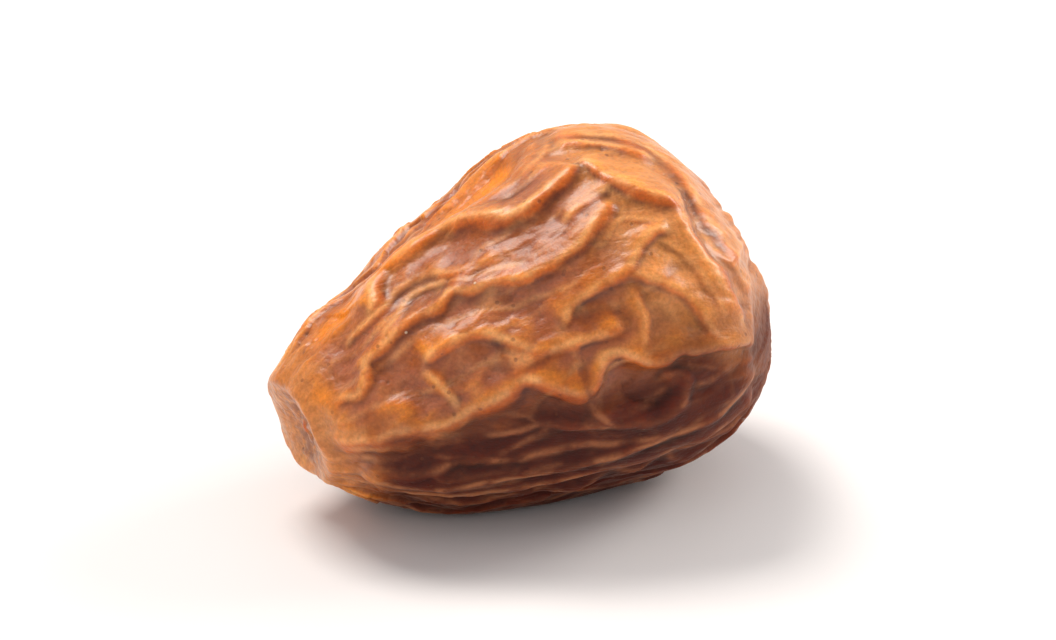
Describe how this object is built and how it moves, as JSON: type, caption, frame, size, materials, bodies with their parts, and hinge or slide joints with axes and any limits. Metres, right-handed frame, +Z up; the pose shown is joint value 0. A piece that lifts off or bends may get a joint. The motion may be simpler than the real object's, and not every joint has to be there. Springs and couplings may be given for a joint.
{
  "type": "date",
  "caption": "Semi-dry date fruit with wrinkled golden-brown skin, a blunt scarred tip and a dry calyx remnant in a shallow crater, lying on its side.",
  "frame": {"origin": "on the resting plane, under the middle of the fruit's bounding box", "axes": "+Z up, +X from the stylar tip towards the calyx end, level with the resting plane; the fruit's own axis rises 16.5 degrees towards the calyx end"},
  "size_m": [0.0374, 0.0272, 0.0264],
  "materials": {
    "skin": "wrinkled translucent fruit skin, golden amber on the folds, brown with a mauve-grey bloom in the hollows, satin",
    "husk": "dry papery fibrous calyx remnant, straw to tan, matt"
  },
  "bodies": {
    "root": {"fruit": "skin", "calyx": "husk"}
  },
  "joints": []
}
